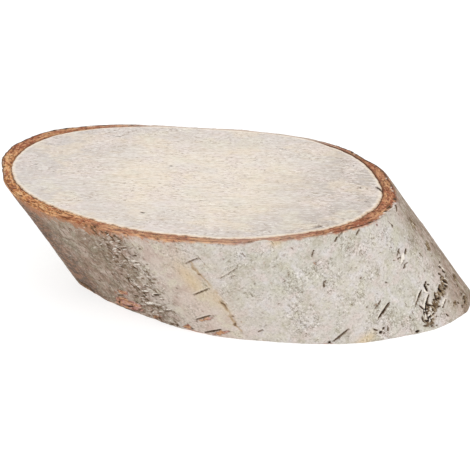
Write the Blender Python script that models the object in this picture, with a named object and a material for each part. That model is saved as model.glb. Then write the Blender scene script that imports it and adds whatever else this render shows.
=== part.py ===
"""A slice of a birch log with its bark on, cut level above and below through a leaning trunk.

Metres, +Z up. The slice stands on its lower cut face, and +X runs along the length of the faces.
"""

import math

import bmesh
import bpy
from mathutils import Vector

# The cut faces: an ellipse that the trunk's lobes push a little out of round.
HALF_LENGTH = 0.0753
HALF_WIDTH = 0.0554
LOBES = ((2, 0.040, -53), (3, 0.021, 46), (4, 0.020, -32), (5, 0.015, -4))  # count, share of radius, degrees

# The trunk between the two cuts: how far it leans and how much wider it is below.
THICKNESS = 0.040
LEAN = Vector((0.0229, 0.0156))
TAPER = 0.02

# Soft swellings of the bark: waves round the trunk, waves down it, height and starting angle.
SWELLS = ((7, 1, 0.00030, 40), (12, 2, 0.00022, 110), (19, 1, 0.00014, 10))

# Scars of shed branches: angle and height on the wall, radius, depth and height of the lip round it.
BRANCH_SCAR = (-23, 0.18, 0.0085, 0.0016, 0.0010)
SMALL_SCAR = (-46, 0.09, 0.0032, 0.0009, 0.0006)

# A ridge of rough, flaking bark that runs down the trunk.
RIDGE_ANGLE = -103
RIDGE_HALF_WIDTH = 0.007
RIDGE_HEIGHT = 0.0007

# Where the saw left the bark's edge: worn back and ragged.
EDGE_BAND = 0.03
EDGE_WEAR = 0.0004
RAGGED = ((23, 0.00010), (41, 0.00009), (59, 0.00008))  # waves round the edge, height

SEGMENTS = 264
RINGS = 15
BARK_COLOUR = (0.66, 0.58, 0.49, 1)
BARK_ROUGHNESS = 0.85


def outline(angle):
    """A point of the cut face's outline, from the face's middle."""
    radius = 1 + sum(share * math.cos(count * (angle - math.radians(at))) for count, share, at in LOBES)
    return Vector((HALF_LENGTH * math.cos(angle) * radius, HALF_WIDTH * math.sin(angle) * radius))


def outward(angle):
    """The level direction that points out of the bark."""
    step = 0.01
    along = outline(angle + step) - outline(angle - step)
    return Vector((along.y, -along.x)).normalized()


def smooth_wall(angle, height):
    """A point of the trunk's wall before any relief; height is 0 on the lower face and 1 on the upper."""
    spread = 1 + TAPER * (0.5 - height)
    flat = outline(angle) * spread + LEAN * (0.5 - height)
    return Vector((flat.x, flat.y, THICKNESS * height))


def scar_relief(point, scar):
    """A shallow hollow with a lip round it."""
    degrees, height, radius, depth, lip = scar
    away = (point - smooth_wall(math.radians(degrees), height)).length / radius
    hollow = -depth * math.exp(-(away / 0.6) ** 2)
    collar = lip * math.exp(-((away - 1) / 0.35) ** 2)
    return hollow + collar


def ridge_relief(angle):
    turn = math.remainder(angle - math.radians(RIDGE_ANGLE), math.tau)
    return RIDGE_HEIGHT * math.exp(-(turn * HALF_WIDTH / RIDGE_HALF_WIDTH) ** 2)


def swell_relief(angle, height):
    return sum(
        size * math.sin(round_waves * angle + math.radians(start)) * math.cos(down_waves * math.pi * height)
        for round_waves, down_waves, size, start in SWELLS
    )


def edge_relief(angle, height):
    """Worn and ragged at the two cuts, and nothing between them."""
    if EDGE_BAND / 2 < height < 1 - EDGE_BAND / 2:
        return 0.0
    return -EDGE_WEAR + sum(size * math.sin(waves * angle + waves) for waves, size in RAGGED)


def bark_wall(angle, height):
    point = smooth_wall(angle, height)
    relief = scar_relief(point, BRANCH_SCAR) + scar_relief(point, SMALL_SCAR)
    relief += ridge_relief(angle) + swell_relief(angle, height) + edge_relief(angle, height)
    push = outward(angle) * relief
    return Vector((point.x + push.x, point.y + push.y, point.z))


def ring_height(share):
    """Rings evenly spaced down the wall, with the first and last close to the cuts."""
    if share in (0.0, 1.0):
        return share
    inner = (share * RINGS - 1) / (RINGS - 2)
    return EDGE_BAND + (1 - 2 * EDGE_BAND) * inner


def clear_scene():
    for item in list(bpy.data.objects):
        bpy.data.objects.remove(item)


def plain_cylinder():
    """A unit cylinder, its wall split into rings, standing on z = 0."""
    mesh = bmesh.new()
    bmesh.ops.create_cone(mesh, cap_ends=True, segments=SEGMENTS, radius1=1, radius2=1, depth=1)
    uprights = [edge for edge in mesh.edges if abs(edge.verts[0].co.z - edge.verts[1].co.z) > 0.5]
    bmesh.ops.subdivide_edges(mesh, edges=uprights, cuts=RINGS - 1)
    bmesh.ops.translate(mesh, verts=mesh.verts, vec=(0, 0, 0.5))
    return mesh


def shape_log(mesh):
    """Moves each point of the cylinder to the log's wall, and centres the slice over the origin."""
    for vert in mesh.verts:
        share = round(vert.co.z * RINGS) / RINGS
        vert.co = bark_wall(math.atan2(vert.co.y, vert.co.x), ring_height(share))
    xs = [vert.co.x for vert in mesh.verts]
    ys = [vert.co.y for vert in mesh.verts]
    middle = ((min(xs) + max(xs)) / 2, (min(ys) + max(ys)) / 2, 0)
    bmesh.ops.translate(mesh, verts=mesh.verts, vec=-Vector(middle))
    bmesh.ops.recalc_face_normals(mesh, faces=mesh.faces)


def birch_material():
    material = bpy.data.materials.new("birch")
    material.use_nodes = True
    shader = material.node_tree.nodes["Principled BSDF"]
    shader.inputs["Base Color"].default_value = BARK_COLOUR
    shader.inputs["Roughness"].default_value = BARK_ROUGHNESS
    return material


def add_object(name, mesh, collection):
    data = bpy.data.meshes.new(name)
    mesh.to_mesh(data)
    mesh.free()
    data.materials.append(birch_material())
    collection.objects.link(bpy.data.objects.new(name, data))


def main():
    clear_scene()
    collection = bpy.data.collections.new("birch_wood_slice")
    bpy.context.scene.collection.children.link(collection)
    mesh = plain_cylinder()
    shape_log(mesh)
    add_object("birch_slice", mesh, collection)


main()
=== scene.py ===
"""Looks for the birch slice: its bark, its cut wood and the loose flakes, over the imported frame."""

import math
from functools import lru_cache
from types import SimpleNamespace

import bpy
import numpy as np
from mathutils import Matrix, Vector


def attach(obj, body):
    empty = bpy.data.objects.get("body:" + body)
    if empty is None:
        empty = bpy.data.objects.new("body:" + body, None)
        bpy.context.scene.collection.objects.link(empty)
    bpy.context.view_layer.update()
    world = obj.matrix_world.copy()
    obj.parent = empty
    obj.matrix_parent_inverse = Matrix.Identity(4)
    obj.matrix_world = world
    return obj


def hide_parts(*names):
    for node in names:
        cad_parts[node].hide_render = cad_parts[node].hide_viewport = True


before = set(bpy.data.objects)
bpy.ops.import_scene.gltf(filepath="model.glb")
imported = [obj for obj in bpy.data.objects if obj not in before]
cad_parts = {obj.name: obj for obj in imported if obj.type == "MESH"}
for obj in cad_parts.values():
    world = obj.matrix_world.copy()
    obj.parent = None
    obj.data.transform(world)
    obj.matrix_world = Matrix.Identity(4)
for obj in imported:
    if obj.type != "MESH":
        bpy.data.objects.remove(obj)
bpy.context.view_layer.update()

# The trunk, as in the part's source (metres).
HALF_LENGTH = 0.0753
HALF_WIDTH = 0.0554
LOBES = ((2, 0.040, -53), (3, 0.021, 46), (4, 0.020, -32), (5, 0.015, -4))
THICKNESS = 0.040
LEAN = np.array([0.0229, 0.0156])
TAPER = 0.02
SWELLS = ((7, 1, 0.00030, 40), (12, 2, 0.00022, 110), (19, 1, 0.00014, 10))
SCARS = ((-23, 0.18, 0.0085, 0.0016, 0.0010), (-46, 0.09, 0.0032, 0.0009, 0.0006))
RIDGE_ANGLE = -103
RIDGE_HALF_WIDTH = 0.007
RIDGE_HEIGHT = 0.0007
# The middle of the part's box before the part was moved to the origin.
MIDDLE = np.array([0.00026, -0.00049])
# How deep the scars are here, as a share of the part's.
SCAR_SHARE = 0.25

# Bark places are (round, down): millimetres round the trunk from its +X side, and
# millimetres down the trunk from the slice's mid height.
AXIS = np.array([*LEAN, -THICKNESS])
AXIS /= np.linalg.norm(AXIS)
SIDE = np.cross(AXIS, [0, 0, 1])
SIDE /= np.linalg.norm(SIDE)
FRONT = np.cross(SIDE, AXIS)

# The part of the bark that faces the camera, and how finely that part and the rest are meshed, in
# millimetres round the trunk.
SHOWN_ROUND = (-165, 12)
SHOWN_STEP = 0.36
HIDDEN_STEP = 1.0

# Rows of the meshes: down the wall, across the rim on the upper and the lower cut, and inwards over the wood
# on the same two.
WALL_ROWS = 125
RIM_ROWS = 10
BASE_ROWS = 6
TOP_RINGS = 64
BASE_RINGS = 26

# The upper cut by angle: degrees, how far in the wood starts in millimetres, how dark the rim's outer line
# (painted shadow at the cut edge) and inner line (the dark cambium with painted shadow of the groove) are,
# how orange it is, and how faded.
RIM = (
    (-180, 4.5, 0.9, 0.4, 0.7, 0), (-170, 4.2, 0.9, 0.2, 1, 0), (-160, 4.7, 0.7, 0.6, 1, 0),
    (-150, 5, 0.6, 0.8, 1, 0), (-140, 5.2, 0.5, 0.8, 1, 0), (-130, 5.1, 0.4, 0.6, 0.9, 0),
    (-120, 4.7, 0.3, 0.4, 0.7, 0), (-110, 4.4, 0.3, 0.3, 0.4, 0), (-100, 4, 0.3, 0.2, 0.3, 0.1),
    (-92, 3.4, 0.3, 0.3, 0.3, 0.1), (-80, 4.3, 0.4, 0.5, 0.2, 0.1), (-72, 3.3, 0.5, 0.4, 0.1, 0.2),
    (-62, 3.6, 0.1, 0.3, 0, 0.3), (-55, 4.2, 0.2, 0.3, 0, 0.3), (-47, 4.4, 0.4, 0.5, 0, 0.1),
    (-38, 4.4, 0.8, 0.7, 0, 0), (-28, 5, 0.9, 0.7, 0, 0), (-18, 5.8, 0.9, 0.7, 0, 0),
    (-8, 5.5, 0.8, 0.7, 0.1, 0), (0, 5.2, 0.7, 0.7, 0.2, 0), (10, 4.4, 0.8, 0.6, 0.2, 0),
    (25, 3.6, 0.9, 0.7, 0.1, 0), (40, 3, 1, 0.8, 0, 0), (52, 2.6, 1, 0.9, 0, 0.1),
    (60, 2.3, 0.8, 0.8, 0, 0.3), (67, 1, 0.1, 0.1, 0, 0.9), (74, 0.6, 0, 0, 0, 1), (114, 0.6, 0, 0, 0, 1),
    (122, 1.6, 0.4, 0.1, 0.1, 0.3), (130, 2.7, 0.9, 0.3, 0.1, 0.1), (138, 4, 1, 0.3, 0.2, 0),
    (148, 5, 1, 0.5, 0.2, 0), (155, 5.6, 1, 0.6, 0.2, 0), (162, 5.5, 1, 0.6, 0.2, 0),
    (170, 5.2, 1, 0.6, 0.4, 0),
)

# How far the white skin reaches in over the upper cut: degrees, millimetres. Below 0 it is frayed away
# down the wall instead.
SKIN_EDGE = (
    (-165, -0.3), (-150, -0.6), (-135, -1.1), (-115, -0.9), (-90, -0.9), (-75, -0.7), (-66, -0.5), (-63, 0.4),
    (-61, 2.4), (-59, 1.2), (-57, -0.2), (-48, -0.4), (-42, -0.2), (-36, -0.4), (-28, -0.1), (-18, 0.4),
    (-8, 1.2), (-3, 0.4), (8, -0.3), (40, -0.4), (60, 0), (110, 0), (120, 0.4), (140, 0.2), (150, -0.5),
)

# How much fuller the trunk is than the part at its two cuts: degrees, millimetres at the upper and lower cut.
FULLER = (
    (-180, 0.2, 0.3), (-170, -0.6, 0.4), (-156, -0.8, 0.7), (-144, 0, 0.5), (-132, 0, 0), (-120, 0.1, -0.4),
    (-108, 0.2, -0.2), (-96, 0.3, 0.3), (-72, 0.3, -0.1), (-60, 0.3, 0.7), (-40, 0.4, 0.7), (-24, 0.5, 1.7),
    (-12, 0.6, 2), (0, 0.7, 0.7), (12, 0.5, -0.8), (24, 0.5, -0.8), (36, 0.2, 0), (48, -0.2, 0), (60, 0.5, 0),
    (84, -0.2, 0), (100, 0.3, 0), (120, 0.7, 0), (144, 0.5, 0), (156, 0.2, 0), (168, 0.7, 0.2),
)

# Lines and dashes on the bark: round and down where they start and where they end, half width, how dark,
# how proud the lips are, and so how pale (their paleness partly painted highlight).
MARKS = (
    # the smooth bark and the slits beside it
    (-84.3, -27, -78.2, -27.6, 0.36, 0.8, 0.8), (-89.9, -13.9, -82.5, -14.8, 0.38, 0.9, 0.8),
    (-96.2, -3.6, -89.4, -4, 0.44, 0.9, 0.7), (-96.4, 2.6, -89.2, 2.7, 0.44, 1, 0.6),
    (-76.3, -17.2, -68.3, -18.2, 0.32, 0.6, 1), (-74.5, -16.2, -71, -16, 0.3, 0.5, 0.7),
    (-94.7, -18.2, -94, -17.9, 0.42, 0.8, 0.3), (-82.9, -1.2, -81.6, -1, 0.4, 0.7, 0.3),
    (-78.2, 8.4, -76, 8.2, 0.45, 0.7, 0.4), (-77.9, -28.5, -77.6, -22.2, 0.28, 0.5, 0.4),
    # the middle
    (-58.5, 24.2, -51.4, 23.2, 0.48, 0.9, 0.6), (-59.8, 23.8, -59.2, 24.1, 0.75, 1, 0.2),
    (-46.7, -6.8, -44.6, -8.3, 0.42, 0.8, 0.5), (-49.7, 5.1, -48.8, 3.6, 0.45, 0.9, 0.6),
    (-48.8, 3.5, -47.6, 3.3, 0.42, 0.8, 0.6), (-41.6, 27.2, -35.2, 25.8, 0.55, 1, 0.8),
    (-44.2, 28, -41, 27.4, 0.35, 0.5, 0.4), (-39.6, 23.8, -38, 22.9, 0.35, 0.7, 0.5),
    (-44.3, 31.6, -43.4, 32.6, 0.6, 1, 1), (-43.4, 33.2, -42.8, 33.4, 0.4, 0.8, 0.8),
    (-34.5, 41.2, -33.1, 42, 0.6, 1, 0.3), (-32.1, 19.6, -31.7, 19.7, 0.46, 1, 0.2),
    (-26.6, 20.7, -26.2, 20.8, 0.46, 0.6, 0.2), (-37.6, -5.2, -35.6, -6, 0.42, 0.9, 0.5),
    (-35.6, -6, -32.8, -5.6, 0.38, 0.7, 0.5), (-30.2, -1.2, -27.6, -1.8, 0.42, 0.9, 0.5),
    (-54.2, -20.6, -53.9, -18.8, 0.3, 0.6, 0.3), (-52.6, -20.8, -52.4, -19.2, 0.3, 0.6, 0.3),
    # the curl
    (-22.4, 16.2, -21, 15.2, 0.36, 0.8, 0.5), (-21, 15.2, -19.8, 15.7, 0.36, 0.8, 0.5),
    (-23.4, 17.1, -21.9, 17.7, 0.38, 0.8, 0.6), (-25.2, 15.8, -24.2, 16.8, 0.32, 0.6, 0.4),
    (-23, 19.8, -21.3, 19, 0.4, 1, 0.4), (-21.3, 19, -19.2, 18.6, 0.32, 0.8, 0.3),
    (-19.6, 18.8, -17.3, 18.2, 0.52, 1, 0.5), (-23.5, 21.6, -22, 20.9, 0.38, 1, 0.5),
    (-22, 20.9, -20.7, 21.4, 0.3, 0.8, 0.3),
    # under the rim on the right
    (-15.9, 6, -15.6, 8.6, 0.35, 0.6, 0.3), (-16.3, 8.8, -15.1, 9, 0.42, 0.9, 0.4),
    (-12.8, 6.6, -12, 6.7, 0.35, 0.6, 0.3), (-8.6, 8.7, -4.6, 8.3, 0.44, 0.9, 0.4),
    (-13.4, 24.2, -13.1, 26.8, 0.34, 0.6, 0.3), (-7.9, 28.5, -4.2, 28.3, 0.36, 0.7, 0.5),
    (-6.6, 26.3, -5.8, 27.2, 0.32, 0.6, 0.4), (-5.2, 21.2, -3.8, 21.9, 0.4, 0.5, 0.3),
    (-3.4, 25.4, -1.4, 26, 0.5, 0.5, 0.3), (-17.2, 29.5, -16.4, 29.8, 0.38, 0.6, 0.3),
    (-22.8, 29.6, -22, 29.9, 0.38, 0.6, 0.3), (-8.2, 31.6, -6, 31.4, 0.36, 0.6, 0.4),
    (0.6, 33.2, 2.4, 34.5, 0.8, 0.8, 0.2),
    # the scar: its thin blades, then its dark strokes from left to right
    (-28.9, 34.2, -26.6, 33.4, 0.4, 0.8, 0.7), (-27, 33.5, -23.2, 32.5, 0.5, 1.1, 1),
    (-26.9, 38.2, -21.5, 36.2, 0.66, 1.2, 1.1), (-21.3, 35, -20.9, 32.2, 0.64, 1.2, 1),
    (-21, 32.4, -19.2, 32, 0.4, 1, 0.5), (-20.1, 32.8, -19.1, 34, 0.38, 1, 0.5),
    (-27.6, 35.2, -27.2, 37.3, 0.4, 0.9, 0.6), (-27.9, 38.8, -25.8, 38.5, 0.6, 1.1, 0.3),
    (-25, 37.8, -23.6, 40, 0.48, 1, 0.6), (-26.6, 40, -24.8, 38.8, 0.52, 1, 0.8),
    (-29.1, 41.9, -26, 41.2, 0.6, 1.2, 0.9), (-28.4, 42.5, -27, 43, 0.6, 1.1, 0.4),
    (-25.9, 41.4, -24.6, 42.6, 0.42, 0.9, 0.7), (-29, 44.1, -28.2, 44.5, 0.5, 1, 0.3),
    (-30.2, 40.4, -29.2, 38.4, 0.36, 0.8, 0.7), (-25.2, 43.8, -24.4, 44, 0.4, 0.9, 0.4),
    (-23.2, 40.2, -22.2, 42.2, 0.6, 0.8, 0.3), (-21.6, 39, -21, 39.9, 0.42, 1, 0.4),
    (-19.2, 37.6, -20.2, 41.2, 0.6, 1, 0.6), (-19.4, 41, -18.4, 41.9, 0.56, 1, 0.4),
    (-21.6, 42.7, -20.7, 43.4, 0.46, 1, 0.5), (-20.6, 44.5, -16.8, 43.6, 0.46, 1.2, 1.1),
    (-17.3, 39, -15, 38, 0.46, 1, 0.7), (-16.6, 38.9, -16.3, 41, 0.66, 1.2, 0.4),
    (-16.6, 41.4, -16.2, 42.2, 0.46, 0.9, 0.3), (-15, 40.6, -14, 41.6, 0.44, 1, 0.5),
    (-13.7, 40.2, -12.4, 41.9, 0.46, 1.1, 0.7), (-13.8, 37.4, -11.2, 38, 0.6, 0.9, 0.4),
    (-12.5, 38.8, -11.2, 41.5, 0.6, 1.1, 0.6), (-12.5, 35.4, -11.1, 37.3, 0.46, 0.9, 0.5),
    (-8.6, 35.6, -7.8, 37.4, 0.48, 1, 0.8), (-8.5, 37.6, -7.4, 40, 0.56, 1.2, 1),
    (-9.9, 40.3, -7.2, 40.1, 0.36, 1, 0.6), (-6.4, 36.5, -4.6, 37.2, 0.4, 0.8, 0.5),
    (-21, 46.8, -20.6, 48.4, 0.46, 0.9, 0.3), (-15.4, 47.2, -14.4, 48.4, 0.46, 0.7, 0.3),
    (-13.6, 49.2, -12.9, 50, 0.42, 0.9, 0.3), (-12.9, 51.8, -12.1, 52.3, 0.6, 1.2, 0.3),
    (-6.4, 47.8, -5.2, 48.8, 0.56, 0.9, 0.3), (-3.4, 46, -2, 47, 0.56, 0.7, 0.3),
    (-10.4, 52.6, -8.8, 53.6, 0.6, 1.1, 0.6), (-9, 51.8, -6.4, 53.2, 0.6, 1.1, 0.6),
    (-8.4, 50.4, -7, 51.2, 0.5, 0.9, 0.5), (-6.8, 54.2, -5.4, 54.8, 0.5, 0.9, 0.4),
    # the rough bark on the left, from the rim down
    (-112.4, -42, -113, -39.6, 0.38, 0.8, 0.4), (-106, -40.2, -104.8, -38, 0.46, 0.9, 0.5),
    (-103.8, -38.8, -101, -38.8, 0.4, 0.8, 0.6), (-97, -37.3, -96, -37.4, 0.36, 0.8, 0.8),
    (-101, -35, -99.6, -34.9, 0.4, 1, 0.6), (-105.4, -37, -105.3, -33.6, 0.5, 0.7, 0.5),
    (-114.2, -38.4, -113, -38.4, 0.42, 0.8, 0.3), (-115.4, -32.7, -114, -33, 0.42, 0.8, 0.4),
    (-104, -32, -100.4, -31.8, 0.34, 0.8, 0.8), (-99, -30.6, -97.8, -30.4, 0.34, 0.8, 0.8),
    (-114.4, -27.1, -112.8, -27.5, 0.4, 0.8, 0.4), (-119.9, -26.8, -118.9, -27.1, 0.44, 1, 0.4),
    (-119.8, -24.4, -119.4, -23.6, 0.6, 0.7, 0.2), (-111.6, -26.4, -112.6, -23, 0.44, 0.9, 0.5),
    (-110.6, -25.4, -110.6, -23.4, 0.36, 0.8, 0.5), (-102.6, -23.6, -101.6, -23.9, 0.34, 0.9, 0.5),
    (-106.6, -21.3, -105, -21.2, 0.42, 0.9, 0.5), (-112.8, -22.6, -112.2, -20, 0.38, 0.8, 0.4),
    (-110.8, -22, -110.3, -19.4, 0.46, 0.9, 0.4), (-116.6, -16.7, -113.6, -16.5, 0.34, 1, 0.5),
    (-112.6, -16.7, -109.8, -16.5, 0.34, 0.9, 0.5), (-107, -16, -106.4, -16.6, 0.56, 0.9, 0.3),
    (-105.8, -16.8, -103.2, -16.7, 0.48, 1, 1), (-116, -13.4, -113.8, -14, 0.44, 0.8, 0.4),
    (-113.4, -12, -112.2, -11.8, 0.4, 0.8, 0.4), (-104.4, -12.4, -103.8, -12, 0.36, 0.8, 0.4),
    (-106.4, -9, -103.2, -8.8, 0.36, 0.9, 0.6), (-114.8, -8.5, -113.2, -8.8, 0.4, 0.8, 0.4),
    (-112.8, -6.2, -111.4, -5.8, 0.34, 0.9, 0.5), (-106.8, -1.7, -105.2, -2.2, 0.4, 0.9, 1),
    (-100.9, -0.2, -100.2, 0.6, 0.45, 0.8, 0.4),
    # the peeled places' edges and the corner at the far left
    (-127.8, -15.9, -123.4, -16.1, 0.4, 0.9, 0.5), (-123.4, -19, -122.2, -18.6, 0.38, 0.9, 0.3),
    (-131.4, -11.2, -129.4, -12.8, 0.5, 0.9, 0.3), (-129.4, -10.8, -126.8, -10.6, 0.4, 0.7, 0.3),
    (-127.4, -10.1, -123.4, -10.4, 0.5, 1, 0.5), (-119.4, -13.8, -117.4, -11.2, 0.6, 0.8, 0.3),
    (-121.8, -9.1, -118.6, -9.7, 0.42, 0.8, 0.6), (-124.6, -31.6, -123.2, -31.2, 0.6, 0.6, 0.3),
    (-132.6, -22.8, -131, -22.6, 0.5, 0.7, 0.3), (-139.6, -31.8, -138, -32, 0.45, 0.6, 0.3),
    (-157, -17, -145, -14.6, 1.5, 0.8, 0),
)

# The photograph's width and height in pixels.
PICTURE_SIZE = 470

# More marks, picked on the photograph, in its pixels from the top left: across and down where they
# start and where they end, half width in millimetres, how dark, how proud the lips are.
# Their lips' paleness is partly painted highlight.
PICKED_MARKS = (
    # the middle
    (242, 253, 245, 256, 0.38, 0.6, 0.4), (291.5, 248, 293.5, 249.4, 0.38, 0.6, 0.4),
    (270.5, 253, 277, 249.5, 0.3, 0.5, 0.4), (253.5, 285, 256, 283, 0.36, 0.6, 0.4),
    (289, 271.5, 287.8, 279, 0.32, 0.6, 0.5), (287.5, 279.5, 281, 284, 0.32, 0.6, 0.4),
    (305, 281.6, 307, 280.6, 0.36, 0.6, 0.3), (301, 293.4, 303.2, 292.4, 0.36, 0.6, 0.3),
    (277, 305, 280, 303, 0.34, 0.6, 0.4), (281, 302, 282.5, 299, 0.34, 0.5, 0.4),
    (267, 324.5, 264, 327.5, 0.36, 0.6, 0.4), (309, 326, 307.4, 331, 0.3, 0.5, 0.4),
    (306.6, 333, 305.6, 337.5, 0.36, 0.6, 0.4), (311, 330, 314, 327.5, 0.3, 0.5, 0.3),
    # the right
    (347, 249, 350, 246.6, 0.36, 0.7, 0.3), (359.6, 251, 364.4, 257, 0.28, 0.5, 0.3),
    (369, 260.5, 369.7, 264, 0.3, 0.5, 0.3), (348.4, 271.8, 353.7, 263, 0.26, 0.5, 0.2),
    (359.6, 278.9, 361.8, 276.6, 0.36, 0.7, 0.3), (386.3, 244, 387.2, 245.6, 0.34, 0.7, 0.3),
    (390, 246.4, 391.6, 248.2, 0.34, 0.7, 0.3), (355.5, 286, 356.6, 284.6, 0.34, 0.6, 0.3),
    (376.4, 293.8, 377.4, 293.4, 0.36, 0.7, 0.3), (380.4, 300, 378.6, 305, 0.36, 0.7, 0.4),
    (377, 304.4, 375.4, 309, 0.4, 0.8, 0.4), (373.4, 311.4, 372.4, 315.6, 0.32, 0.6, 0.3),
    (366.2, 307.4, 367.4, 306, 0.4, 0.7, 0.3), (350.6, 304.8, 352, 304, 0.4, 0.6, 0.3),
    (404.6, 300.8, 407, 306.7, 0.3, 0.6, 0.3), (411.8, 310.3, 413, 315, 0.36, 0.7, 0.4),
    (409, 316, 411, 319, 0.34, 0.6, 0.3), (397.2, 249, 399.6, 254.5, 0.4, 0.9, 0.5),
    (400.6, 256, 401.6, 261, 0.36, 0.9, 0.5), (373, 329, 377, 330.4, 0.4, 0.8, 0.4),
    (387.6, 326.4, 388.8, 331.4, 0.4, 0.9, 0.4), (382, 330, 385.6, 327.4, 0.46, 1, 0.6),
    # the far right edge
    (424.9, 241.4, 427.6, 248.8, 0.4, 0.6, 0.4), (432.7, 243.7, 435.9, 247.9, 0.5, 0.8, 0.4),
    (431.3, 253.4, 432.2, 256.6, 0.4, 0.5, 0.3), (438.4, 258.6, 439, 259.6, 0.5, 0.7, 0.3),
    (439.6, 261.2, 440.4, 262.2, 0.46, 0.9, 0.3), (451.2, 275, 452.2, 276.6, 0.5, 0.7, 0.3),
    (454.3, 278.3, 455.2, 281, 0.5, 0.8, 0.4), (457, 283.8, 458.5, 286.6, 0.5, 0.8, 0.4),
    (464.5, 295, 466.6, 301, 0.6, 0.9, 0.5), (462.4, 306.8, 463.4, 308, 0.5, 1, 0.3),
    (457.4, 302.4, 459, 303, 0.46, 0.7, 0.3), (453.8, 305.4, 455, 306.4, 0.46, 0.6, 0.3),
    # low in the scar
    (423.5, 308.7, 424.4, 315, 0.46, 1, 0.6), (427.6, 311.4, 426.7, 317.9, 0.46, 1, 0.6),
    (430.4, 315, 431.8, 320.6, 0.5, 1.1, 0.6), (424, 319.7, 427.6, 321.6, 0.46, 1, 0.5),
    (421, 316, 423, 321.6, 0.4, 0.9, 0.5), (432.2, 308.8, 435, 311.4, 0.46, 0.9, 0.5),
    (422.6, 325.4, 426.4, 326, 0.5, 0.8, 0.3), (435.6, 324.5, 436.8, 326, 0.46, 0.8, 0.3),
)

# The crack down the smooth bark, as the places that it passes through.
CRACK = ((-82.1, -27.5), (-81.7, -17.5), (-81.3, -12.2), (-82.5, -8.6), (-82.7, -2.0), (-83.9, 7.2))

# Peeled places, where the inner bark shows: middle, half sizes round and down.
PEELS = (
    (-122.6, -17.6, 4.2, 1.4), (-130, -12, 2.6, 1.7), (-126.4, -13.4, 3.2, 2), (-121.2, -10.6, 3.8, 2.6),
    (-125.6, -10, 3.4, 1.3), (-113.6, -6.2, 2.8, 1.3), (-102.2, -1.1, 2.6, 1.1), (-92.6, -2.9, 3.6, 0.7),
    (-90.6, 4, 3.6, 1),
)

# The scar and small broken places near it: middle, half sizes round and down.
SCAR = (
    (-27.4, 41.6, 2.6, 2.4), (-25.8, 38.9, 2.2, 1.4), (-22.8, 41.2, 1.7, 1.6), (-19.7, 40.2, 1.6, 2.4),
    (-16.4, 40.2, 1.6, 2.1), (-12.6, 39.4, 1.9, 2.8), (-8, 38.4, 1, 2.2), (-8.2, 52.8, 3, 1.7),
    (-15, 47.8, 1.2, 0.8), (-4, 18.6, 2.4, 2.6), (-5, 29, 3, 1.8), (-3, 46.6, 2, 1.4),
)

# Stained and tan places: how strong, middle, half sizes round and down.
STAINS = ((1, -86.5, -20, 3.4, 9), (0.7, -82.5, -8, 2.4, 7))
TAN_PLACES = ((1.1, -49.6, 30.6, 4.4, 2), (1.2, -53, -19.6, 2.2, 2))

# Where the bark changes, in millimetres round the trunk: the inner edges of the weathered bark on the left,
# there darkened partly as painted shade on the undercut wall, and the right, where it ends on the right and
# at the far left, the middle of the side that the photograph shows, the rough strip, the warm bark, its
# stain's edge, and where the dark corner starts and is full.
SHADED_WEATHERED_LEFT = -99
WEATHERED_RIGHT = -6
WEATHERED_END = 45
FAR_LEFT = -168
SHOWN_MIDDLE = -78
ROUGH_STRIP = -108
WARM_BARK = -92
STAIN_EDGE = -80.6
RUDDY_EDGE = (-129, -145)

# Orange bark under the rim: how strong, millimetres round the trunk, half width. Then where it ends, and
# where the fainter bark that follows it ends.
GLOWS = ((1, -138, 7), (0.8, -112, 5))
GLOW_END = -95
FAINT_GLOW_END = -76

# Marks on the upper face of the wood, picked the same way, without lips.
WOOD_MARKS = (
    (377, 187.4, 382.4, 191.2, 0.5, 1), (375.4, 186.8, 378.4, 187.8, 0.4, 0.7),
    (359.6, 187.4, 361.4, 188, 0.5, 0.8), (353, 165.6, 354.6, 166, 0.6, 0.7),
    (364, 201.5, 369, 201.5, 0.4, 0.5), (33.5, 164.3, 36.5, 164.6, 0.5, 0.5), (36, 166, 62, 170.5, 0.4, 0.3),
    (117, 226, 119, 227, 0.5, 0.8), (141, 212, 144, 213, 0.5, 0.6), (113, 136, 119, 136, 0.5, 0.6),
    (168, 186, 178, 186, 0.4, 0.5), (171, 166, 173, 166.4, 0.6, 0.5), (314, 227, 322, 226, 0.6, 0.5),
    (276, 147, 286, 150, 0.5, 0.5),
)

# Loose strips of skin: round and down where they start and where they end, half width, how far the free side
# lifts.
STRIPS = (
    (-20.6, 43.5, -17.2, 42.9, 0.4, 0.5), (-23.4, 19.2, -19.7, 17.5, 0.42, 0.8),
    (-103.8, -33.2, -100.8, -33, 0.38, 0.6), (-109.5, -19.3, -105.8, -18.9, 0.36, 0.6),
    (-113, -13.7, -107.6, -13, 0.62, 0.7), (-106.8, -10, -102.6, -9.8, 0.32, 0.6),
    (-27.6, 40.6, -25.6, 40.4, 0.36, 0.4),
)
STRIP_THICKNESS = 0.14

# Small loose strips in the rough bark, round the scar and on the hidden sides: how many, their middle round
# and down, how far they spread round and down, the longest and the widest.
SMALL_STRIPS = (
    (34, -107, -27, 4, 19, 2.4, 0.3), (8, -27, 41, 1.6, 3, 1.6, 0.22), (5, -17, 41.5, 4, 2, 1.6, 0.2),
    (30, 120, 20, 16, 30, 4, 0.5), (40, 70, 10, 22, 34, 3.5, 0.45),
)

# The values on the meshes that are places, not plain numbers.
VECTORS = ("grain", "ring")

# How deep the bark lies where its skin is gone, in millimetres, and the groove at the wood's rim, in metres.
CORK_DEPTH = 0.28
GROOVE_DEPTH = 0.0004

# How far the rim's widths are turned on the lower cut, in radians.
LOWER_TURN = 0.5

# The turn of the wood's grain from the X axis, in degrees.
GRAIN_TURN = -14.0

# The floor in metres, the light, and where the sun shines from and how wide it is in degrees.
FLOOR_HALF_SIZE = 6.0
FLOOR_GLOW = 0.72
SKY_STRENGTH = 0.88
SUN_STRENGTH = 0.95
SUN_SIDE = (0.57, -0.87, 0.95)
SUN_SPREAD = 50

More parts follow.
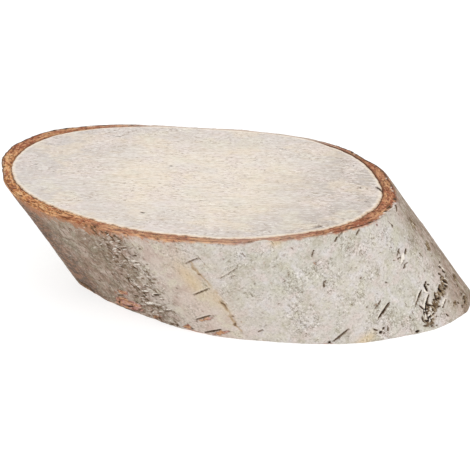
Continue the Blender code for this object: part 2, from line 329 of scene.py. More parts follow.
# The camera: metres from the middle of the slice's foot, degrees above and round it, the lens and sensor in
# millimetres, and how far right of and above that middle it aims, in metres.
CAMERA_DISTANCE = 0.725
CAMERA_RISE = 23.5
CAMERA_TURN = 16.64
LENS = 153.2
SENSOR_WIDTH = 36
AIM_RIGHT = 0.0011
AIM_UP = 0.0153


# Noise

def cell_value(cells, seed):
    """A steady random number from 0 to 1 for each whole-number cell."""
    mixed = cells[..., 0] * 73856093 ^ cells[..., 1] * 19349663 ^ cells[..., 2] * 83492791 ^ seed * 97531
    mixed = mixed & 0xFFFFFFFF
    mixed = ((mixed ^ (mixed >> 15)) * 2246822519) & 0xFFFFFFFF
    mixed = ((mixed ^ (mixed >> 13)) * 3266489917) & 0xFFFFFFFF
    return (mixed ^ (mixed >> 16)) / 0xFFFFFFFF


def noise(points, size, seed, stretch=(1, 1, 1)):
    """Smooth noise from -1 to 1 over points in millimetres, with features of about this size."""
    scaled = points / (size * np.array(stretch))
    cells = np.floor(scaled).astype(np.int64)
    part = scaled - cells
    part = part * part * (3 - 2 * part)
    total = 0
    for corner in range(8):
        step = np.array([corner & 1, corner >> 1 & 1, corner >> 2 & 1])
        total = total + np.where(step, part, 1 - part).prod(-1) * cell_value(cells + step, seed)
    return total * 2 - 1


def rough_noise(points, size, seed, octaves=3, stretch=(1, 1, 1)):
    """Noise with smaller and weaker noise on it."""
    total = sum(noise(points, size / 2 ** octave, seed + octave, stretch) / 2 ** octave
                for octave in range(octaves))
    return total / 1.6


def smooth_step(value, low, high):
    share = np.clip((value - low) / (high - low), 0, 1)
    return share * share * (3 - 2 * share)


def from_table(table, angle):
    places, values = np.array(table, float).T
    return np.interp(np.degrees(angle), places, values, period=360)


# The trunk's shape

def outline(angle):
    radius = 1 + sum(share * np.cos(count * (angle - math.radians(at))) for count, share, at in LOBES)
    return np.stack([HALF_LENGTH * np.cos(angle) * radius, HALF_WIDTH * np.sin(angle) * radius], -1)


def ring_place(angle, depth):
    """The upper edge at this angle, in millimetres, and how far inside it: below 0 is down the wall."""
    edge = outline(angle) * 1000 + 0 * depth[..., None]
    return np.concatenate([edge, depth[..., None]], -1)


def outward(angle):
    along = outline(angle + 0.01) - outline(angle - 0.01)
    away = np.stack([along[..., 1], -along[..., 0], 0 * angle], -1)
    return away / np.linalg.norm(away, axis=-1, keepdims=True)


def trunk(angle, height):
    """The trunk's wall before any relief, in metres."""
    spread = 1 + TAPER * (0.5 - height)
    flat = outline(angle) * spread[..., None] + LEAN * (0.5 - height)[..., None] - MIDDLE
    return np.concatenate([flat, THICKNESS * height[..., None]], -1)


def log_place(points):
    """Millimetres across and down the trunk; the third number is the distance down it."""
    local = (points - [*-MIDDLE, THICKNESS / 2]) * 1000
    return np.stack([local @ SIDE, local @ FRONT, local @ AXIS], -1)


def round_scale():
    """Angles all round, and the millimetres round the trunk that each stands for."""
    angle = np.linspace(-math.pi, math.pi, 2881)
    flat = np.concatenate([outline(angle), np.zeros((len(angle), 1))], 1)
    step = np.diff(flat, axis=0)
    step -= np.outer(step @ AXIS, AXIS)
    length = np.concatenate([[0], np.cumsum(np.linalg.norm(step, axis=1))]) * 1000
    return angle, length - np.interp(0, angle, length)


ANGLES, ROUNDS = round_scale()
GIRTH = ROUNDS[-1] - ROUNDS[0]


def angle_at(rounds):
    return np.interp((rounds - ROUNDS[0]) % GIRTH + ROUNDS[0], ROUNDS, ANGLES)


def height_at(angle, downs):
    """The height on the wall, 0 to 1, that is this far down the trunk at this angle."""
    top = log_place(trunk(angle, np.ones_like(angle)))[..., 2]
    base = log_place(trunk(angle, np.zeros_like(angle)))[..., 2]
    return (downs - base) / (top - base)


def column_angles():
    """Angles of the mesh's columns: close together where the camera looks, wider apart behind."""
    shown = np.arange(SHOWN_ROUND[0], SHOWN_ROUND[1], SHOWN_STEP)
    hidden_count = int((GIRTH - shown[-1] + shown[0]) / HIDDEN_STEP)
    hidden = np.linspace(SHOWN_ROUND[1], SHOWN_ROUND[0] + GIRTH, hidden_count)[:-1]
    return angle_at(np.concatenate([shown, hidden]))


def turned(rounds):
    """Differences round the trunk, taken the short way."""
    return (rounds + GIRTH / 2) % GIRTH - GIRTH / 2


def scar_relief(points, scar):
    degrees, height, radius, depth, lip = scar
    centre = trunk(np.radians(np.array([float(degrees)])), np.array([height]))[0]
    away = np.linalg.norm(points - centre, axis=-1) / radius
    return lip * np.exp(-((away - 1) / 0.35) ** 2) - depth * np.exp(-(away / 0.6) ** 2)


def trunk_relief(angle, height, points):
    """The part's own relief in millimetres: swells, scars and the rough ridge."""
    relief = sum(size * np.sin(turns * angle + math.radians(start)) * np.cos(waves * math.pi * height)
                 for turns, waves, size, start in SWELLS)
    relief = relief + SCAR_SHARE * sum(scar_relief(points, scar) for scar in SCARS)
    turn = (angle - math.radians(RIDGE_ANGLE) + math.pi) % math.tau - math.pi
    return 1000 * (relief + RIDGE_HEIGHT * np.exp(-(turn * HALF_WIDTH / RIDGE_HALF_WIDTH) ** 2))


def column_of(table, column, angle):
    """One column of a table by angle."""
    return from_table([(row[0], row[column]) for row in table], angle)


def bulges(angle, height):
    """How much fuller the trunk is than the part, in millimetres."""
    return height * column_of(FULLER, 1, angle) + (1 - height) * column_of(FULLER, 2, angle)


# Places in the photograph

def camera_pose():
    """Where the camera is, and how it is turned."""
    turn, rise = math.radians(CAMERA_TURN), math.radians(CAMERA_RISE)
    back = Vector((math.sin(turn) * math.cos(rise), -math.cos(turn) * math.cos(rise), math.sin(rise)))
    right = Vector((math.cos(turn), math.sin(turn), 0))
    origin = Vector((-MIDDLE[0], -MIDDLE[1], 0))
    place = origin + back * CAMERA_DISTANCE
    aim = origin + right * AIM_RIGHT + back.cross(right) * AIM_UP
    return place, (aim - place).to_track_quat("-Z", "Y")


def camera_view():
    """The camera's place, its right, up and backward axes as columns, and its pixels to a slope of 1."""
    place, turn = camera_pose()
    return np.array(place), np.array(turn.to_matrix()), PICTURE_SIZE * LENS / SENSOR_WIDTH


def seen_bark():
    """Places close together on the bark that faces the camera: rounds, downs, the photograph's pixels."""
    place, axes, scale = camera_view()
    rounds, height = np.meshgrid(np.arange(*SHOWN_ROUND, 0.2), np.linspace(0, 1, 241))
    angle = angle_at(rounds)
    plain = trunk(angle, height)
    points = plain + outward(angle) * bulges(angle, height)[..., None] / 1000
    facing = outward(angle) * THICKNESS
    facing[..., 2] = outward(angle)[..., :2] @ LEAN
    seen = ((place - points) * facing).sum(-1) > 0
    local = (points[seen] - place) @ axes
    pixels = PICTURE_SIZE / 2 + local[:, :2] / -local[:, 2:] * scale * [1, -1]
    return rounds[seen], log_place(plain[seen])[:, 2], pixels


@lru_cache
def picked_marks():
    """The marks picked on the photograph, with their ends as bark places."""
    rounds, downs, pixels = seen_bark()

    def place(*pixel):
        nearest = ((pixels - pixel) ** 2).sum(-1).argmin()
        return rounds[nearest], downs[nearest]

    return [(*place(*row[:2]), *place(*row[2:4]), *row[4:]) for row in PICKED_MARKS]


def upper_face_place(across, down):
    """The place on the upper face, in millimetres, that the photograph shows at this pixel."""
    place, axes, scale = camera_view()
    ray = axes @ [across - PICTURE_SIZE / 2, PICTURE_SIZE / 2 - down, -scale]
    return 1000 * (place + ray * (THICKNESS - place[2]) / ray[2])[:2]


# Marks on the bark

def from_line(across, down, ends):
    """Distance from a line, the share of the way along it, and the side of it: 1 above, -1 below.

    The line is its start and end as four numbers. Across and down are counted from its start.
    """
    run = (ends[2] - ends[0], ends[3] - ends[1])
    side = np.sign((run[1] * across - run[0] * down) * (1 if run[0] > 0 else -1))
    share = np.clip((across * run[0] + down * run[1]) / (run[0] ** 2 + run[1] ** 2), 0, 1)
    return np.hypot(across - share * run[0], down - share * run[1]), share, side


def slit(rounds, downs, ends, half_width):
    """How far inside the slit a place is, 0 to 1, and the same for its lips, the upper one stronger: their
    paleness is partly painted highlight.
    """
    away, share, side = from_line(turned(rounds - ends[0]), downs - ends[1], ends)
    width = half_width * (0.3 + 0.7 * np.sqrt(np.clip(4 * share * (1 - share), 0, 1)))
    opening = 1 - smooth_step(away, 0, width * 1.7)
    lips = np.exp(-((away - width * 1.9) / (width * 0.7)) ** 2) * np.where(side > 0, 1, 0.5)
    return opening, lips


def blob(rounds, downs, middle_round, middle_down, half_round, half_down):
    across = turned(rounds - middle_round) / half_round
    return np.exp(-(across ** 2 + ((downs - middle_down) / half_down) ** 2))


def blobs(rounds, downs, places):
    return sum(blob(rounds, downs, *place) for place in places)


def strong_blobs(rounds, downs, places):
    return sum(strength * blob(rounds, downs, *place) for strength, *place in places)


@lru_cache
def hidden_marks():
    """Lenticels and dashes for the sides that the photograph doesn't show."""
    chance = np.random.default_rng(21)
    marks = []
    for _ in range(70):
        start = chance.uniform(8, GIRTH - 160)
        down = chance.uniform(-60, 60)
        length = chance.choice([1.6, 3.0, 7.5], p=[0.45, 0.3, 0.25]) * chance.uniform(0.7, 1.3)
        ends = (start, down, start + length, down + chance.normal(0, 0.25))
        marks.append((*ends, chance.uniform(0.28, 0.45), chance.uniform(0.5, 0.9), 0.6))
    return marks


def line_marks(rounds, downs):
    """Lines and dashes: how dark, how pale, and their relief in millimetres."""
    dark, pale, relief = (np.zeros_like(rounds) for _ in range(3))
    for *ends, width, strength, lip in (*MARKS, *picked_marks(), *hidden_marks()):
        opening, lips = slit(rounds, downs, ends, width)
        dark = np.maximum(dark, opening * strength)
        # The lips' paleness, partly painted highlight.
        pale = np.maximum(pale, lips * lip * (1 - opening))
        relief += lips * lip * width * 0.5 - opening * width * strength
    return dark, pale, relief


def crack_line(rounds, downs, place):
    """How far inside the crack a place is, 0 to 1."""
    wander = 1.1 * rough_noise(place, 2.2, 83, 3) + 0.45 * noise(place, 0.8, 87)
    away = np.inf
    for start, end in zip(CRACK, CRACK[1:]):
        across = turned(rounds - start[0]) + wander
        away = np.minimum(away, from_line(across, downs - start[1], (*start, *end))[0])
    wide = 0.9 + 0.4 * blob(rounds, downs, -82, -9, 3, 5)
    return (1 - smooth_step(away, 0.0, wide)) * np.clip(0.7 + 0.6 * noise(place, 2.4, 89), 0, 1)


def bark_zones(rounds, downs, place):
    """Where the bark is weathered (on the undercut left also darkened as painted shade), warm, stained,
    rough, scarred or peeled, from 0 to 1.
    """
    wander = rough_noise(place, 9, 11)
    fine = rough_noise(place, 1.6, 17)
    side = rounds + 3.5 * wander + 3.0 * rough_noise(place, 2.5, 19, 3, (1, 1, 1.6))
    # The weathered bark on the left, which also stands for painted shade on the undercut wall.
    limit = SHADED_WEATHERED_LEFT - 4 * smooth_step(downs, -40, -15)
    far_left = turned(rounds + 12 * wander + 4 * fine - FAR_LEFT)
    left = smooth_step(turned(side - limit), 5, -8) * smooth_step(far_left, -22, 10)
    right = smooth_step(turned(side - WEATHERED_RIGHT), -13, 7)
    right = right * (1 - smooth_step(turned(rounds - WEATHERED_END), -10, 10))
    right = np.clip(right + blob(rounds, downs, -5, 52, 13, 9), 0, 1)
    from_middle = np.abs(turned(rounds - SHOWN_MIDDLE))
    behind = smooth_step(wander, -0.1, 0.5) * smooth_step(from_middle, 88, 112)
    strip = np.exp(-(turned(side - ROUGH_STRIP + 0.1 * (downs + 25)) / 11) ** 2)
    strip = strip + 0.8 * smooth_step(wander, 0.25, 0.6) * smooth_step(from_middle, 98, 112)
    warm = np.exp(-(turned(rounds - WARM_BARK) / 13) ** 2) + 0.6 * right
    stain = strong_blobs(rounds, downs, STAINS) * smooth_step(turned(rounds - STAIN_EDGE), 1.0, -1.0)
    tan = strong_blobs(rounds + 0.6 * fine, downs, TAN_PLACES)
    ruddy = smooth_step(turned(rounds + 4 * fine), *RUDDY_EDGE) * smooth_step(far_left, 0, 16)
    peel = blobs(rounds, downs, PEELS) + 0.3 * fine + 0.6 * rough_noise(place, 0.9, 23)
    return {
        "grime_and_shade": np.clip(left + 0.95 * right + 0.6 * behind, 0, 1),
        "warm": np.clip(warm, 0, 1),
        "stain": np.clip(stain + tan, 0, 1),
        "rough": np.clip(strip, 0, 1),
        "scar": np.clip(blobs(rounds, downs, SCAR), 0, 1),
        "ruddy": ruddy,
        "peel": smooth_step(peel, 0.30, 0.75),
    }


def frayed_edges(angle, height, place):
    """Where the white skin is gone at the two cuts, from 0 to 1, and how much wall is lost in millimetres."""
    from_top = (1 - height) * THICKNESS * 1000
    from_base = height * THICKNESS * 1000
    ragged = rough_noise(place, 2.2, 31)
    patchy = rough_noise(place, 8, 37)
    top = smooth_step(-from_table(SKIN_EDGE, angle) + 0.8 * ragged - from_top, -0.5, 0.5)
    base = smooth_step(-0.1 + 1.1 * patchy + 0.5 * ragged - from_base, -0.2, 0.3)
    worn = 0.2 * np.exp(-(np.minimum(from_top, from_base) / 0.5) ** 2) * (1 + 1.2 * ragged)
    return np.maximum(top, 0.8 * base), worn


def rim_glow(rounds, height):
    """How orange the bark is just under the rim, most of all on the left."""
    glow = sum((strength * np.exp(-(turned(rounds - middle) / half_width) ** 2)
                for strength, middle, half_width in GLOWS), start=0.35)
    glow = glow * np.exp(-((1 - height) * 9) ** 2) * smooth_step(turned(rounds - GLOW_END), 8, -10)
    faint = 0.45 * np.exp(-((1 - height) * 13) ** 2) * smooth_step(turned(rounds - FAINT_GLOW_END), 6, -10)
    return glow + faint


def torn_bark(place, zones, strokes):
    """The share of rough bark, where strokes are torn in it, how dark they are, and where flakes lift."""
    flakes = rough_noise(place, 1.1, 5, 3, (2.0, 2.0, 0.7))
    rough = zones["rough"] * smooth_step(rough_noise(place, 6, 59), -0.7, -0.1)
    broken = smooth_step(zones["scar"] + 0.45 * strokes, 0.45, 0.95)
    torn = broken * (0.15 + 0.5 * smooth_step(strokes, 0.0, 0.4))
    torn = np.maximum(rough * smooth_step(strokes, 0.0, 0.3) * 0.72, torn)
    lifted = np.maximum(0.6 * rough, broken) * smooth_step(flakes, 0.34, 0.46)
    return rough, torn, torn * (1 - smooth_step(flakes, 0.26, 0.36)), lifted


def bark_wall(angle, height):
    """Points of the outer wall with all its relief, and the values that colour it."""
    smooth = trunk(angle, height)
    place = log_place(smooth)
    rounds = np.interp(angle, ANGLES, ROUNDS)
    downs = place[..., 2]
    zones = bark_zones(rounds, downs, place)
    strokes = rough_noise(place, 1.1, 53, 3, (0.9, 0.9, 1.2))
    rough, torn, stroke_dark, lifted = torn_bark(place, zones, strokes)
    dark, pale, marks = line_marks(rounds, downs)
    crack = crack_line(rounds, downs, place)
    frayed, worn = frayed_edges(angle, height, place)
    peel = zones["peel"] * (1 - frayed)

    relief = trunk_relief(angle, height, smooth) + marks + bulges(angle, height)
    relief += 0.16 * rough_noise(place, 5, 41) + 0.08 * rough_noise(place, 1.0, 47, 2, (1.5, 1.5, 0.8))
    relief += 0.3 * lifted - 0.45 * torn + rough * 0.15 * strokes + 0.25 * peel * strokes
    relief -= np.maximum(frayed, peel) * CORK_DEPTH + crack * 0.3 + worn
    # The wall is far from the rim's two dark lines (painted shadow at its edges), apart from its first row.
    from_edge = np.zeros_like(rounds)
    from_edge[1:] = 9
    values = {
        "grain": place,
        "ring": ring_place(angle, (height - 1) * THICKNESS * 1000),
        "dark": np.maximum(dark, stroke_dark),
        "pale": np.maximum(pale, lifted) * (1 - frayed),
        "cork": frayed,
        "crack": crack * (1 - frayed),
        "rough": rough,
        "peel": peel,
        "glow": rim_glow(rounds, height),
        "depth": from_edge,
        "inner": np.full_like(rounds, 9.0),
        **{name: zones[name] for name in ("grime_and_shade", "warm", "stain", "scar", "ruddy")},
        **rim_tones(angle + 0 * height),
    }
    return smooth + outward(angle) * relief[..., None] / 1000, values


# Meshes

def add_mesh(name, points, faces, values, material):
    """A piece from points and faces, with its named values on the points."""
    data = bpy.data.meshes.new(name)
    data.from_pydata(points.reshape(-1, 3).tolist(), [], faces)
    for label, field in values.items():
        vector = label in VECTORS
        attribute = data.attributes.new(label, "FLOAT_VECTOR" if vector else "FLOAT", "POINT")
        attribute.data.foreach_set("vector" if vector else "value", field.astype(np.float32).ravel())
    data.shade_smooth()
    data.materials.append(material)
    piece = bpy.data.objects.new(name, data)
    bpy.context.scene.collection.objects.link(piece)
    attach(piece, "root")
    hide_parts("birch_slice")


def ring_faces(rows, columns, closed_rows):
    """Quads of a grid whose columns go round, and whose rows close on themselves if asked."""
    index = np.arange(rows * columns).reshape(rows, columns)
    above = index if closed_rows else index[:-1]
    below = np.roll(index, -1, 0) if closed_rows else index[1:]
    return np.stack([above, below, np.roll(below, -1, 1), np.roll(above, -1, 1)], -1).reshape(-1, 4).tolist()


def rim_tones(angle):
    names = ("outer_shadow_line", "inner_line_and_shadow", "orange", "faded")
    return {name: column_of(RIM, column, angle) for column, name in enumerate(names, 2)}


def rim_inside(angle, upper):
    """The line where the wood starts; on the lower cut the same, turned a little."""
    depth = column_of(RIM, 1, angle if upper else angle + LOWER_TURN)
    nominal = trunk(angle, np.full_like(angle, 1.0 if upper else 0.0))
    depth = depth + 0.22 * rough_noise(nominal * 1000, 2.5, 79, 2)
    line = nominal - outward(angle) * (depth / 1000)[:, None]
    line[:, 2] = THICKNESS - GROOVE_DEPTH if upper else GROOVE_DEPTH
    return line


def cut_rim(edge, angle, upper):
    """The bark's cut edge, in rows from the outer wall to the wood, and the values that colour it."""
    inside = rim_inside(angle, upper)
    share = np.linspace(0, 1, RIM_ROWS if upper else BASE_ROWS)[1:, None]
    points = edge + (inside - edge) * share[..., None]
    width = np.linalg.norm((inside - edge)[:, :2], axis=-1) * 1000
    depth = share * width
    place = log_place(edge + 0 * points)
    place[..., 2] += -depth if upper else depth
    grains = rough_noise(place, 0.9, 61, 2, (1.6, 1.6, 0.8))
    skin = from_table(SKIN_EDGE, angle) if upper else -0.5 + 0 * angle
    pale = smooth_step(skin + 0.8 * rough_noise(place, 2.2, 64) - depth, -0.2, 0.3)
    lift = 0.15 * grains + 0.06 * rough_noise(place, 3, 67, 2) + 0.15 * pale
    if upper:
        points[:-1, :, 2] = THICKNESS + lift[:-1] / 1000
    else:
        points[:-1, :, 2] = np.maximum(0, -lift[:-1] / 1000)
    ragged = rough_noise(place, 1.5, 97, 3)
    near_skin = np.exp(-((depth - np.maximum(skin, 0) - 0.6) / 0.8) ** 2)
    near_skin = near_skin * smooth_step(skin, -0.7, -0.1) * (1 - pale) * (1 - column_of(RIM, 5, angle))
    fringe = 0.8 * near_skin * smooth_step(ragged, 0.10, 0.35)
    nothing = np.zeros_like(depth)
    wall_only = ("crack", "grime_and_shade", "warm", "stain", "rough", "scar", "ruddy", "peel", "glow")
    values = {
        "grain": place,
        "ring": ring_place(angle, depth if upper else -1000 * THICKNESS - depth),
        "cork": 1 - pale,
        "pale": np.maximum(0.5 * pale, fringe),
        "dark": near_skin * smooth_step(ragged, -0.05, -0.30),
        "depth": depth,
        "inner": width - depth,
        **dict.fromkeys(wall_only, nothing),
        **rim_tones(angle + nothing),
    }
    return points, values


def add_bark(material):
    """The bark as one closed ring."""
    angle = column_angles()
    share = np.linspace(0, 1, WALL_ROWS)
    height = 1 - (share - 0.016 * np.sin(2 * math.pi * share))
    wall, wall_values = bark_wall(*np.broadcast_arrays(angle[None, :], height[:, None]))
    top, top_values = cut_rim(wall[0], angle, True)
    base, base_values = cut_rim(wall[-1], angle, False)
    points = np.concatenate([top[::-1], wall, base])
    values = {label: np.concatenate([top_values[label][::-1], field, base_values[label]])
              for label, field in wall_values.items()}
    add_mesh("bark", points, ring_faces(*points.shape[:2], closed_rows=True), values, material)


def wood_face(angle, rings, upper):
    """One cut face of the wood, in rings inwards: its points, how far they are from the rim, their marks."""
    line = rim_inside(angle, upper)
    share = 1 - np.linspace(0, 1, rings + 1)[:-1] ** 1.35
    centre = line.mean(0)
    points = centre + (line - centre) * share[:, None, None]
    away = np.linalg.norm(line - points, axis=-1) * 1000
    place = points * 1000
    relief = 0.03 * noise(place, 1.0, 71, (4, 1.1, 5)) + 0.035 * rough_noise(place, 4, 73, 2)
    relief = relief * smooth_step(away, 0, 1)
    mark = wood_marks(place) if upper else np.zeros_like(away)
    relief -= 0.12 * mark + 1000 * GROOVE_DEPTH * np.exp(-(away / 0.25) ** 2)
    points[..., 2] = THICKNESS + relief / 1000 if upper else np.maximum(0, -relief / 1000)
    return points, away, mark


def wood_marks(place):
    mark = np.zeros(place.shape[:-1])
    for *pixels, width, strength in WOOD_MARKS:
        ends = (*upper_face_place(*pixels[:2]), *upper_face_place(*pixels[2:]))
        away = from_line(place[..., 0] - ends[0], place[..., 1] - ends[1], ends)[0]
        mark = np.maximum(mark, strength * (1 - smooth_step(away, width * 0.3, width * 1.5)))
    return mark


def add_wood(material):
    """The cut wood inside the bark: a closed disc with two finished faces."""
    angle = column_angles()
    top, top_away, top_mark = wood_face(angle, TOP_RINGS, True)
    base, base_away, base_mark = wood_face(angle, BASE_RINGS, False)
    points = np.concatenate([top[::-1], base])
    rows, columns = points.shape[:2]
    faces = ring_faces(rows, columns, closed_rows=False)
    first, last = rows * columns, (rows - 1) * columns
    for column in range(columns):
        after = (column + 1) % columns
        faces.append((first, column, after))
        faces.append((first + 1, last + after, last + column))
    points = np.concatenate([points.reshape(-1, 3), [top[-1].mean(0), base[-1].mean(0)]])
    middles = [top_away[-1].mean(), base_away[-1].mean()]
    values = {
        "away": np.concatenate([top_away[::-1].ravel(), base_away.ravel(), middles]),
        "mark": np.concatenate([top_mark[::-1].ravel(), base_mark.ravel(), [0, 0]]),
        "faded": np.concatenate([np.tile(column_of(RIM, 5, angle), rows), [0, 0]]),
    }
    add_mesh("wood", points, faces, values, material)


def small_strips():
    """Many small strips, placed at random round the places where they gather."""
    chance = np.random.default_rng(8)
    strips = []
    for count, middle_round, middle_down, spread_round, spread_down, longest, widest in SMALL_STRIPS:
        for _ in range(count):
            start = chance.normal(middle_round, spread_round)
            down = chance.uniform(middle_down - spread_down, middle_down + spread_down)
            length = chance.uniform(0.4, 1) * longest
            ends = (start, down, start + length, down + chance.normal(0, 0.5))
            strips.append((*ends, chance.uniform(0.5, 1) * widest, chance.uniform(0.25, 0.7)))
    return strips


def strip_loop(ends, half_width, lift, sections=9, across=4):
    """A thin curled strip as rows of closed loops, one side in the bark and the other lifted."""
    along = np.linspace(0, 1, sections)[:, None]
    side = np.linspace(-1, 1, across + 1)
    side = np.concatenate([side, side[::-1]])[None, :]
    under = np.concatenate([np.zeros(across + 1), np.ones(across + 1)])[None, :] + 0 * along
    run = np.array([ends[2] - ends[0], ends[3] - ends[1]])
    cross = np.array([-run[1], run[0]]) / np.linalg.norm(run)
    width = half_width * np.sqrt(np.sin(math.pi * (0.04 + 0.92 * along)))
    rounds = ends[0] + run[0] * along + cross[0] * side * width
    downs = ends[1] + run[1] * along + cross[1] * side * width
    angle = angle_at(rounds)
    height = height_at(angle, downs)
    free = (1 + side) / 2
    raised = lift * free ** 1.5 * np.sin(math.pi * (0.06 + 0.88 * along)) ** 0.5 - 0.10
    raised = raised - under * STRIP_THICKNESS * (1 - 0.6 * free)
    points, _ = bark_wall(angle, np.clip(height, 0.012, 0.988))
    return points + outward(angle) * (raised / 1000)[..., None], under, height


def add_strips(material):
    """The loose strips of skin, all in one piece."""
    parts, faces, unders, count = [], [], [], 0
    for *ends, half_width, lift in (*STRIPS, *small_strips()):
        points, under, height = strip_loop(ends, half_width, lift)
        if height.min() < 0.03 or height.max() > 0.97:
            continue
        rows, columns = under.shape
        sides = ring_faces(rows, columns, closed_rows=False)
        caps = [list(range(columns))[::-1], [(rows - 1) * columns + column for column in range(columns)]]
        faces += [[corner + count for corner in reversed(face)] for face in (*sides, *caps)]
        parts.append(points.reshape(-1, 3))
        unders.append(under.ravel())
        count += rows * columns
    points = np.concatenate(parts)
    values = {"grain": log_place(points), "under": np.concatenate(unders)}
    add_mesh("loose_strips", points, faces, values, material)


# Materials

def colour(red, green, blue):
    """A colour given on the usual 0 to 255 scale, as Blender's linear one."""
    def linear(value):
        value /= 255
        return value / 12.92 if value <= 0.04045 else ((value + 0.055) / 1.055) ** 2.4
    return (linear(red), linear(green), linear(blue), 1)


class Value:
    """What a node gives at each point. Sums, products and steps of it are new nodes."""

    def __init__(self, paint, socket):
        self.paint = paint
        self.socket = socket

    def __add__(self, other):
        return self.paint.add("Math", 0, {0: self, 1: other}, operation="ADD")

    def __sub__(self, number):
        return self + -number

    def __mul__(self, other):
        return self.paint.add("Math", 0, {0: self, 1: other}, operation="MULTIPLY")

    def step(self, low, high, start=0.0, end=1.0):
        """Start below low and end above high, with a smooth change between them."""
        inputs = {"Value": self, "From Min": low, "From Max": high, "To Min": start, "To Max": end}
        return self.paint.add("MapRange", "Result", inputs, interpolation_type="SMOOTHSTEP")


class Paint:
    """One material and its nodes; most methods return the value that they made."""

    def __init__(self, name):
        self.material = bpy.data.materials.new(name)
        self.material.use_nodes = True
        self.tree = self.material.node_tree
        self.shader = self.tree.nodes["Principled BSDF"]

    def add(self, kind, output, inputs, **settings):
        """The output of a new node with these inputs and settings."""
        node = self.tree.nodes.new("ShaderNode" + kind)
        for label, value in settings.items():
            setattr(node, label, value)
        for label, value in inputs.items():
            self.put(node.inputs[label], value)
        return Value(self, node.outputs[output])

    def put(self, socket, value):
        if isinstance(value, Value):
            self.tree.links.new(value.socket, socket)
        else:
            socket.default_value = value

    def field(self, name):
        """A value that the mesh carries on its points."""
        return self.add("Attribute", "Vector" if name in VECTORS else "Fac", {}, attribute_name=name)

    def scaled(self, vector, by):
        return self.add("VectorMath", 0, {0: vector, 1: by}, operation="MULTIPLY")

    def place(self):
        """Millimetres in the object's own space."""
        return self.scaled(self.add("TexCoord", "Object", {}), (1000, 1000, 1000))

    def noise(self, vector, scale, detail=3.0, roughness=0.55, stretch=None):
        if stretch:
            vector = self.scaled(vector, stretch)
        inputs = {"Vector": vector, "Scale": scale, "Detail": detail, "Roughness": roughness}
        return self.add("TexNoise", "Fac", inputs)

    def mix(self, share, first, second):
        """The first colour where share is 0 and the second where it is 1."""
        return self.add("Mix", 2, {0: share, 6: first, 7: second}, data_type="RGBA")

    def coats(self, base, rows):
        """Coats of colour over the base.

        A row is a value, where the coat starts to show and is full, its strength, its colour, and what
        scales it.
        """
        for value, low, high, strength, shade, *scales in rows:
            share = value.step(low, high, 0, strength)
            for scale in scales:
                share = share * scale
            base = self.mix(share, base, colour(*shade))
        return base

    def bump(self, height, distance, strength):
        return self.add("Bump", "Normal", {"Height": height, "Distance": distance, "Strength": strength})

    def finish(self, base, roughness, normal, specular=0.25):
        self.put(self.shader.inputs["Base Color"], base)
        self.put(self.shader.inputs["Roughness"], roughness)
        self.put(self.shader.inputs["Normal"], normal)
        self.put(self.shader.inputs["Specular IOR Level"], specular)
        return self.material


def cork_colour(paint):
    """The inner bark in layers along the rim: orange, brown or faded, with a dark line at each edge: painted
    shadow at the outer edge, and the dark cambium with painted shadow of the groove at the inner.
    """
    ring = paint.field("ring")
    orange = paint.field("orange")
    bright = orange * 0.55 + 0.45
    tones = paint.noise(ring, 0.17, 4, 0.65)
    layers = paint.noise(ring, 0.95, 5, 0.7, (0.20, 0.20, 1.0))
    grains = paint.noise(ring, 1.2, 5, 0.75, (0.45, 0.45, 1.0))
    uneven = grains * 2.6 - 1.3
    base = paint.coats(paint.mix(orange, colour(172, 112, 84), colour(204, 137, 79)), (
        (tones, 0.51, 0.58, 0.7, (156, 78, 50)),
        (tones, 0.47, 0.40, 0.8, (214, 168, 116), bright),
        (layers, 0.52, 0.58, 0.9, (231, 179, 130), bright),
        (layers, 0.48, 0.42, 0.9, (130, 76, 44)),
        (grains, 0.54, 0.60, 0.9, (82, 48, 30)),
        (grains, 0.45, 0.39, 0.8, (241, 201, 157), bright),
    ))
    base = paint.mix(paint.field("faded") * 0.9, base, colour(208, 193, 180))
    # Painted shadow: the outer line at the cut edge, and the groove's shadow over the dark cambium at the
    # inner line.
    return paint.coats(base, (
        (paint.field("inner") + uneven, 0.75, 0.25, 1, (84, 50, 32), paint.field("inner_line_and_shadow")),
        (paint.field("depth") + uneven, 0.75, 0.15, 1, (80, 46, 28), paint.field("outer_shadow_line")),
    ))


def peel_colour(paint, grain):
    """Bark that has peeled: pink, red-brown and tan by turns."""
    patches = paint.noise(grain, 0.22, 4, 0.6)
    layers = paint.noise(grain, 0.9, 4, 0.7, (0.5, 0.5, 1.2))
    return paint.coats(paint.mix(patches.step(0.45, 0.55), colour(194, 148, 138), colour(192, 146, 108)), (
        (layers, 0.50, 0.57, 0.9, (130, 76, 60)),
        (layers, 0.58, 0.65, 0.8, (84, 48, 38)),
        (layers, 0.44, 0.36, 0.6, (228, 200, 182)),
    ))


def bark_noises(paint):
    """The patterns that the bark's colours share."""
    grain = paint.field("grain")
    return SimpleNamespace(
        grain=grain,
        patches=paint.noise(grain, 0.20, 5, 0.65, (1.0, 1.0, 0.8)),
        tints=paint.noise(grain, 0.16, 3, 0.6, (1.0, 1.0, 1.3)),
        clusters=paint.noise(grain, 0.13, 4, 0.6),
        streaks=paint.noise(grain, 0.6, 5, 0.7, (0.45, 0.45, 1.4)),
        strokes=paint.noise(grain, 0.9, 4, 0.7, (1.0, 1.0, 0.4)),
        speckle=paint.noise(grain, 1.2, 5, 0.75, (0.9, 0.9, 1.1)),
        fine=paint.noise(grain, 2.2, 3, 0.65),
    )


